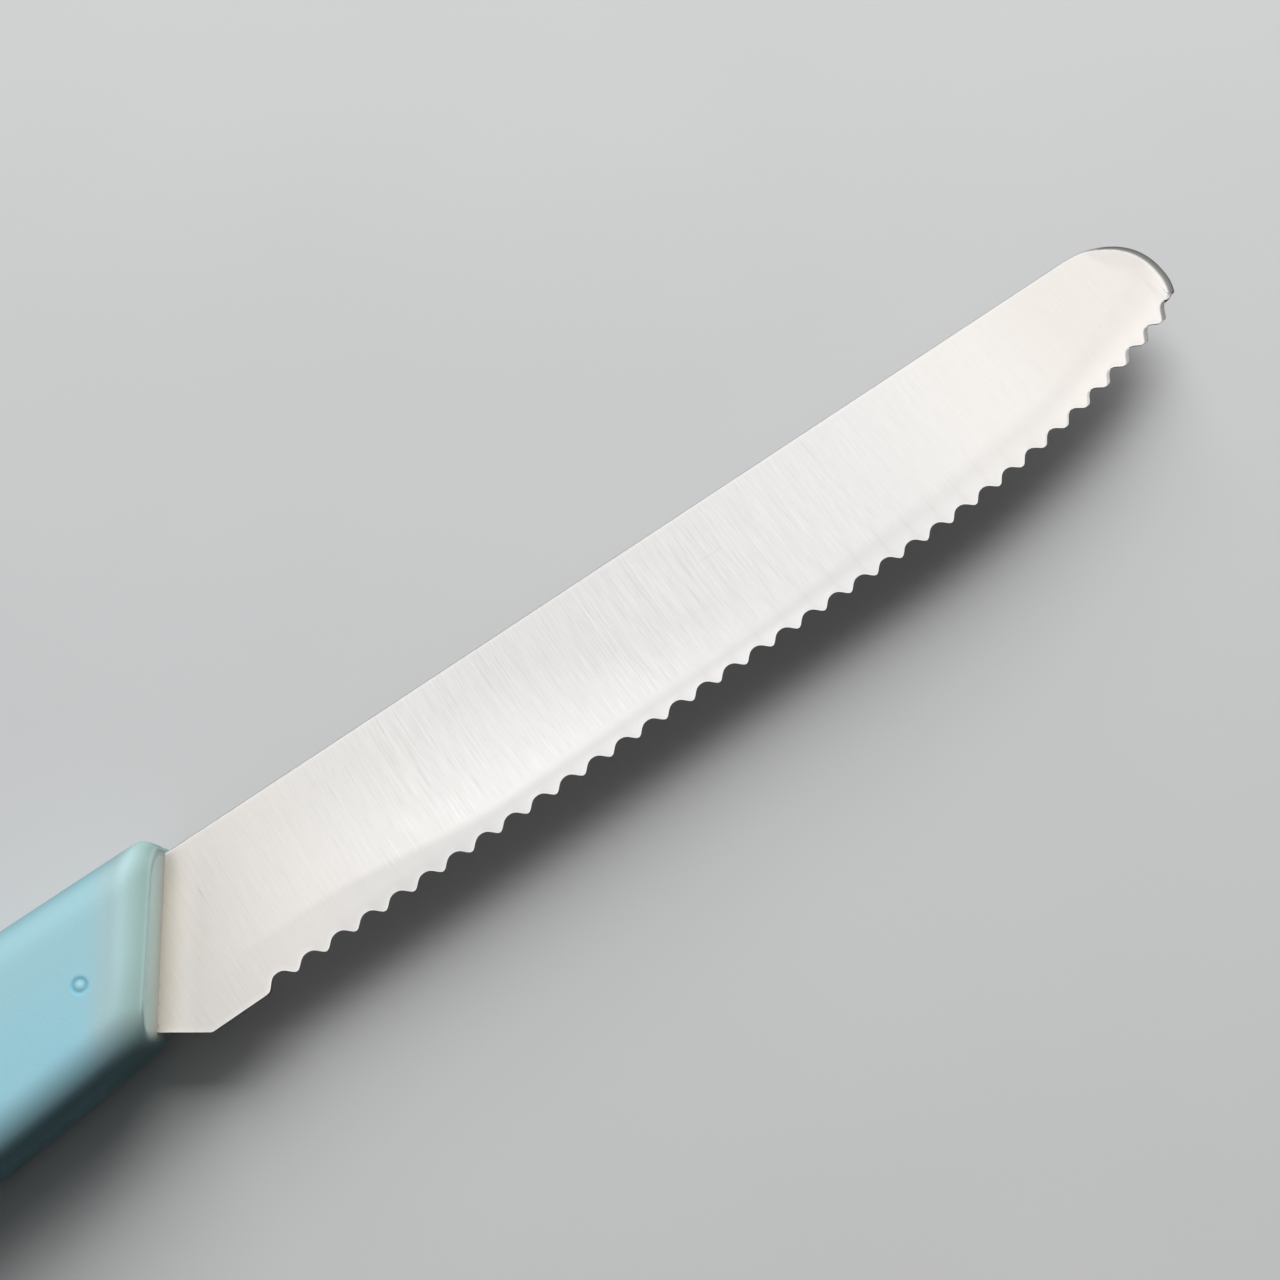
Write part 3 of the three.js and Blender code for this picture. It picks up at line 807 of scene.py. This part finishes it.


# Ground steel. The grind lines are noise stretched along curves that cross the blade, x plus y times a slope
# that changes with x, less a share of y squared. They fade out in the smooth band along the edge and nose.
# The level rises and falls a little, as painted light and shade: a painted sheen above the teeth, painted
# shade on the bevel near the heel and on a strip beside the teeth farther on, painted light and shade along
# the edge, and painted reflection lighter towards the tip. Next to the handle, whose front h gives, painted
# light lifts the steel where the handle shades it, and the steel is warmer and duller, with a film on it.
def makeSteel(f, h):
    material, tree, shader, position, axes = newMaterial("groundSteel")
    x, low = axes["x"], axes["low"]
    inset, away, wall = (readMark(tree, name) for name in ("inset", "edgeAway", "wall"))
    cloud, grain = useGrain(tree, position, f)

    def span(value, *ends):
        return addRange(tree, value, *ends)

    def times(*values):
        return addProduct(tree, *values)

    def beside(value, middle, half):
        return span(addMath(tree, "ABSOLUTE", addMath(tree, "SUBTRACT", value, middle)), half, 0.0)

    def within(value, start, end, fade):
        return times(span(value, start - fade, start + fade), span(value, end + fade, end - fade))

    fan = addMath(tree, "MULTIPLY_ADD", x, *f["grindFan"])
    across = addSum(tree, addMath(tree, "MULTIPLY_ADD", low, fan, x), times(low, low, f["grindBend"]))

    def lines(perMillimetre, stretch, layer):
        parts = {0: times(across, perMillimetre), 1: times(low, stretch), 2: layer}
        vector = addNode(tree, "ShaderNodeCombineXYZ", parts).outputs[0]
        values = {"Vector": vector, "Scale": 1.0, "Detail": 1.0}
        return addNode(tree, "ShaderNodeTexNoise", values).outputs[0]

    ground = 0.0
    for *kind, strength in f["lines"]:
        ground = addMath(tree, "MULTIPLY_ADD", addSpread(tree, lines(*kind), -1.0, 1.0), strength, ground)
    for *kind, strength in f["fewLines"]:
        ground = addMath(tree, "MULTIPLY_ADD", span(lines(*kind), *f["fewSpan"]), strength, ground)
    ground = times(ground, addSpread(tree, cloud, *f["linePatches"]), span(inset, *f["lineInset"]),
                   span(x, *f["lineStart"]), span(x, *f["lineEnd"]))

    # painted sheen above the teeth
    nearFrom, nearTo = (span(x, *ends) for ends in f["paintedSheenNear"])
    farFrom, farTo = (span(x, *ends) for ends in f["paintedSheenFar"])
    paintedSheen = times(*(span(x, *ends) for ends in f["paintedSheenSpans"]), span(away, nearFrom, nearTo),
                    addRange(tree, away, farFrom, farTo, how="LINEAR"))
    # painted shade on the bevel near the heel
    bevel = times(span(inset, *f["bevelInset"]), *(span(x, *ends) for ends in f["bevelSpans"]))
    # painted light and shade along the edge
    edge = times(addSum(tree, *(span(x, *ends) for ends in f["edgeLight"])),
                 span(away, span(x, *f["edgeWidth"]), f["edgeFull"]))
    # painted shade on a strip beside the teeth
    stripAway = addSum(tree, *(span(x, *ends) for ends in f["stripAway"]))
    strip = times(beside(away, stripAway, span(x, *f["stripHalf"])),
                  *(span(x, *ends) for ends in f["stripSpans"]))
    nose = times(span(inset, *f["noseInset"]), span(away, *f["noseAway"]), span(x, *f["noseSpan"]))
    ahead = addMath(tree, "MULTIPLY_ADD", low, h["slant"], x)  # from the handle's slanted front
    ahead = addMath(tree, "SUBTRACT", ahead, h["frontX"] + h["slant"] * h["frontBelow"])
    lower = span(low, *f["frontLower"])
    # painted light that lifts the steel where the handle's front shades it
    lift = times(span(ahead, *f["frontSpan"]), lower)
    # painted reflection: the levels make the steel lighter and darker along x
    gains = [(span(x, start, end), amount) for start, end, amount in f["levels"]]
    gains += [(lift, f["frontLift"]), (paintedSheen, f["paintedSheen"]), (bevel, f["bevelDim"]), (edge, 1.0)]
    gains += [(strip, f["strip"]), (nose, f["noseShade"]), (ground, 1.0)]
    for middle, top, bottom, dark in f["hairlines"]:
        length = within(low, top, bottom, f["hairEnds"])
        gains.append((times(beside(across, middle, f["hairHalf"]), length), -dark))
    c = f["scratch"]
    length = times(span(x, c["from"] - c["ends"], c["from"]), span(x, c["to"] + c["ends"], c["to"]))
    gains.append((times(beside(low, c["below"], f["hairHalf"]), length), -c["dark"]))
    level = addSpread(tree, grain, *f["grainLevel"])
    for share, amount in gains:
        level = times(level, addGain(tree, share, amount))

    colour = addShade(tree, f["steel"], level)
    near = addMath(tree, "MULTIPLY_ADD", low, f["nearSlope"], x)
    warm = times(span(near, *f["warmSpan"]), addSpread(tree, cloud, *f["warmClouds"]))
    film = times(span(ahead, *f["filmSpan"]), addSpread(tree, grain, *f["filmGrain"]))
    gum = times(beside(ahead, f["gumHalf"], f["gumHalf"]), span(grain, *f["gumGrain"]), f["gumShare"])
    pits = useGroup(tree, specks, {"Position": position, **f["pits"]})["Mask"]
    for share, tint in (
        (warm, "warm"),
        (span(near, *f["dullSpan"]), "dull"),
        (times(span(ahead, *f["stainSpan"]), lower), "stain"),
        (span(x, *f["tipSpan"]), "tipTint"),
    ):
        colour = addTint(tree, share, colour, f[tint])
    # film, gum line, pits, and painted shade on the walls of rolled rims
    for share, cover in (
        (film, "film"),
        (gum, "gumLine"),
        (times(pits, f["pitShare"]), "pit"),
        (times(wall, f["wallShare"]), "wall"),
    ):
        colour = addMix(tree, share, colour, f[cover])
    # painted highlights on the rims
    highlighted = useEdgeHighlight(tree, position, colour, f)
    tree.links.new(highlighted["Color"], shader.inputs["Base Color"])

    rough = addRange(tree, ground, *f["roughLines"], *f["roughness"], how="LINEAR")
    rough = addMath(tree, "MULTIPLY_ADD", highlighted["Mask"], f["highlightRough"], rough)
    rough = addMath(tree, "MULTIPLY_ADD", wall, f["wallRough"], rough)
    tree.links.new(rough, shader.inputs["Roughness"])
    tree.links.new(addGain(tree, film, f["filmMetal"]), shader.inputs["Metallic"])
    addBump(tree, shader, ground, *f["bump"])
    return material


plasticFinish = {
    "blue": (0.33, 0.625, 0.73, 1),
    "paleBlue": (0.36, 0.655, 0.745, 1),
    "roughness": (0.36, 0.48),
    "cloudSize": 6.0,
    "grainSize": 0.22,
    "grainLevel": (0.985, 1.015),
    "bump": (0.2, 0.02),
    # towards the top line: a greyer blue as a painted sheen, and painted shade over the top corner
    "upperBlue": (0.37, 0.635, 0.71, 1),
    "upperSpan": (8.0, 3.0),
    "roofDim": -0.33,
    "roofSpan": (0.0, 0.8),
    # front shoulder, by the distance behind the front and below the spine line: a painted reflection, paler
    # then greyer, and painted light
    "shoulderPale": (0.42, 0.61, 0.635, 1),
    "paleSpan": (6.0, 3.0),
    "shoulderTint": (0.375, 0.55, 0.52, 1),
    "tintSpan": (2.8, 0.4),
    "tintEnd": (15.0, 11.0),
    "shoulderLift": 0.19,
    "liftSpan": (3.2, 1.9),
    "liftEnd": (12.0, 6.0),
    # front face, from the steel out to the sides, painted light that is darker and browner by the steel, and
    # the crease round it
    "faceInner": (0.52, 0.56, 0.51, 1),
    "faceOuter": (0.71, 0.99, 0.96, 1),
    "faceSpan": (0.6, 3.6),
    "faceStart": (0.06, 0.0),
    "creaseSpans": ((0.0, 0.06), (0.2, 0.1)),
    "creaseShare": 0.1,
    "grime": (0.07, 0.075, 0.07, 1),
    "specks": {"Spacing": 0.8, "Spot": 0.16, "Share": 0.25},
    "speckSpan": (0.6, 0.0),
    "speckShare": 0.6,
    # moulding mark with painted shade in its groove and a paler nub, a painted highlight along the parting
    # line, and a painted highlight on the lip
    "groove": (0.12, 0.42, 0.58, 1),
    "grooveShare": 0.75,
    "nub": (0.55, 0.75, 0.78, 1),
    "nubShare": 0.6,
    "seam": (0.42, 0.62, 0.66, 1),
    "seamShare": 0.5,
    "highlighted": (0.52, 0.66, 0.65, 1),
    "highlightShare": 0.5,
}


# Moulded plastic: clouds of two close blues; towards the top line a greyer blue as a painted sheen and
# painted shade over the top corner; over the front shoulder a painted reflection, paler then greyer, and
# painted light;
# painted light on the front face, darker and browner by the steel; painted shade in the groove round the
# moulding mark and a paler nub; a painted highlight along the parting line and on the lip; specks where the
# steel comes out, and a very fine moulded grain.
def makePlastic(f):
    material, tree, shader, position, axes = newMaterial("mouldedPlastic")
    low = axes["low"]
    cloud, grain = useGrain(tree, position, f)
    front, roof = readMark(tree, "front"), readMark(tree, "roof")

    def span(value, *ends):
        return addRange(tree, value, *ends)

    def times(*values):
        return addProduct(tree, *values)

    colour = addMix(tree, cloud, f["blue"], f["paleBlue"])
    # a greyer blue towards the top line is a painted sheen; over the front shoulder a painted reflection,
    # paler then greyer, ends before the belly
    above = span(low, *f["tintEnd"])  # the greyer tone ends before the belly
    for share, tone in (
        (span(low, *f["upperSpan"]), "upperBlue"),
        (times(span(front, *f["paleSpan"]), above), "shoulderPale"),
        (times(span(front, *f["tintSpan"]), above), "shoulderTint"),
    ):
        colour = addMix(tree, share, colour, f[tone])
    # painted light over the front shoulder
    lift = times(span(front, *f["liftSpan"]), span(low, *f["liftEnd"]))
    colour = addShade(tree, colour, addGain(tree, lift, f["shoulderLift"]))
    # painted light on the front face, darker and browner by the steel
    out = addRange(tree, addMath(tree, "ABSOLUTE", axes["z"]), *f["faceSpan"], how="LINEAR")
    face = addMix(tree, out, f["faceInner"], f["faceOuter"])
    colour = addMix(tree, span(front, *f["faceStart"]), colour, face)
    # painted shade over the top corner
    dim = addGain(tree, addRange(tree, roof, *f["roofSpan"], how="LINEAR"), f["roofDim"])
    colour = addShade(tree, colour, dim)
    crease = times(*(span(front, *ends) for ends in f["creaseSpans"]), f["creaseShare"])
    colour = addMix(tree, crease, colour, f["grime"])
    # painted shade in the groove round the moulding mark, a paler nub, and a painted highlight along the
    # parting line
    for mark, tone in (("mark", "groove"), ("nub", "nub"), ("seam", "seam")):
        colour = addMix(tree, times(readMark(tree, mark), f[tone + "Share"]), colour, f[tone])
    colour = addShade(tree, colour, addSpread(tree, grain, *f["grainLevel"]))
    spots = useGroup(tree, specks, {"Position": position, **f["specks"]})["Mask"]
    colour = addMix(tree, times(spots, span(front, *f["speckSpan"]), f["speckShare"]), colour, f["grime"])
    # painted highlight on the lip's rim
    tree.links.new(useEdgeHighlight(tree, position, colour, f)["Color"], shader.inputs["Base Color"])
    tree.links.new(addSpread(tree, cloud, *f["roughness"]), shader.inputs["Roughness"])
    addBump(tree, shader, grain, *f["bump"])
    return material


for piece, material, node, slot in (
    (bladePiece, makeSteel(steelFinish, handlePlastic), "blade", "steel"),
    (handlePiece, makePlastic(plasticFinish), "handle", "plastic"),
):
    piece.data.materials.append(material)
    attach(piece, "root")
    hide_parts(node)
print("materials on:", bladePiece.name, handlePiece.name)


studio = {
    "floorColour": (0.60, 0.605, 0.61, 1),
    "floorBounce": (0.03, 0.03, 0.03, 1),
    "floorSize": 4.0,
    "floorRoughness": 0.9,
    "floorScale": 30.0,
    "floorSpots": (0.3, 0.7, 0.99, 1.01),
    "worldColour": (1.0, 0.99, 0.98, 1),
    "fillSide": (0.40, 0.60, 0.69),
    "fill": (0.01, 0.36),
    "fillSpan": (0.25, 1.0),
    "shown": (0.97, 1.02, 1.06),
    "shownSpan": (-0.25, -0.03, 0.20, 0.45),
    "keyPlace": (0.43, 0.63, 0.555),
    "keySize": 0.8,
    "keyPower": 13.7,
}


# Floor, lamp and world: a wide pale plane, one soft lamp over the spine's side, and a pale world. The world
# fills the shade from above the spine, and what the steel mirrors grows brighter towards the tip's side.
def makeStudio(s):
    mesh = bpy.data.meshes.new("floor")
    reach = s["floorSize"] / 2
    corners = [(-reach, -reach, 0), (reach, -reach, 0), (reach, reach, 0), (-reach, reach, 0)]
    mesh.from_pydata(corners, [], [(0, 1, 2, 3)])
    floor = bpy.data.objects.new("floor", mesh)
    bpy.context.scene.collection.objects.link(floor)
    material = bpy.data.materials.new("paleFloor")
    material.use_nodes = True
    tree = material.node_tree
    place = addNode(tree, "ShaderNodeTexCoord").outputs["Object"]
    spots = addNode(tree, "ShaderNodeTexNoise", {"Vector": place, "Scale": s["floorScale"]}).outputs[0]
    shade = addRange(tree, spots, *s["floorSpots"], how="LINEAR")
    shader = tree.nodes["Principled BSDF"]
    # the floor throws little light up at the knife and is dark in what the knife mirrors
    path = addNode(tree, "ShaderNodeLightPath").outputs
    bounced = addMath(tree, "MAXIMUM", path["Is Diffuse Ray"], path["Is Glossy Ray"])
    colour = addMix(tree, bounced, s["floorColour"], s["floorBounce"])
    tree.links.new(addShade(tree, colour, shade), shader.inputs["Base Color"])
    shader.inputs["Roughness"].default_value = s["floorRoughness"]
    floor.data.materials.append(material)

    lamp = bpy.data.lights.new("key", "AREA")
    lamp.size = s["keySize"]
    lamp.energy = s["keyPower"]
    key = bpy.data.objects.new("key", lamp)
    key.location = s["keyPlace"]
    key.visible_glossy = False  # the knife mirrors the world and the floor, not the lamp
    key.rotation_euler = (-Vector(s["keyPlace"])).to_track_quat("-Z", "Y").to_euler()
    bpy.context.scene.collection.objects.link(key)

    world = bpy.data.worlds.new("studio")
    bpy.context.scene.world = world
    world.use_nodes = True
    tree = world.node_tree
    path = addNode(tree, "ShaderNodeLightPath").outputs
    mirrored = addMath(tree, "MAXIMUM", path["Is Glossy Ray"], path["Is Transmission Ray"])
    seen = addMath(tree, "MAXIMUM", path["Is Camera Ray"], mirrored)
    way = addNode(tree, "ShaderNodeTexCoord").outputs["Generated"]
    facing = addNode(tree, "ShaderNodeVectorMath", {0: way, 1: s["fillSide"]}, operation="DOT_PRODUCT")
    fill = addRange(tree, facing.outputs["Value"], *s["fillSpan"], *s["fill"])
    towards = addNode(tree, "ShaderNodeSeparateXYZ", {0: way}).outputs[0]
    low, even, high = s["shown"]
    backSpan, tipSpan = s["shownSpan"][:2], s["shownSpan"][2:]
    shown = addSum(tree, addRange(tree, towards, *backSpan, low, even),
                   addRange(tree, towards, *tipSpan, 0.0, high - even))
    strength = addNode(tree, "ShaderNodeMix", {0: seen, 2: fill, 3: shown}).outputs[0]
    background = tree.nodes["Background"]
    background.inputs["Color"].default_value = s["worldColour"]
    tree.links.new(strength, background.inputs["Strength"])


makeStudio(studio)
print("studio ready")


photoCamera = {
    "place": (23.365, -35.328, 135.386),  # knife coordinates, with y for the spine's side
    "right": (0.819107, -0.573245, 0.021301),
    "up": (0.550174, 0.795570, 0.253727),
    "back": (-0.162394, -0.196110, 0.967041),
    "focalPixels": 1500.0,
    "imagePixels": 1280.0,
    "sensor": 36.0,
    "clip": (0.005, 20.0),
}


# Camera: its three axes and its place, and a lens that is the sensor's width times the focal length in
# pixels over the pixels of the image.
def makeCamera(s):
    data = bpy.data.cameras.new("photoView")
    data.sensor_width = s["sensor"]
    data.lens = s["focalPixels"] / s["imagePixels"] * s["sensor"]
    data.clip_start, data.clip_end = s["clip"]
    camera = bpy.data.objects.new("photoView", data)
    place = np.array(s["place"]) * mm + knifeStart
    columns = [s["right"], s["up"], s["back"], place]
    camera.matrix_world = Matrix([[columns[j][i] for j in range(4)] for i in range(3)] + [[0, 0, 0, 1]])
    bpy.context.scene.collection.objects.link(camera)
    bpy.context.scene.camera = camera


makeCamera(photoCamera)
bpy.context.scene.view_settings.view_transform = "Standard"
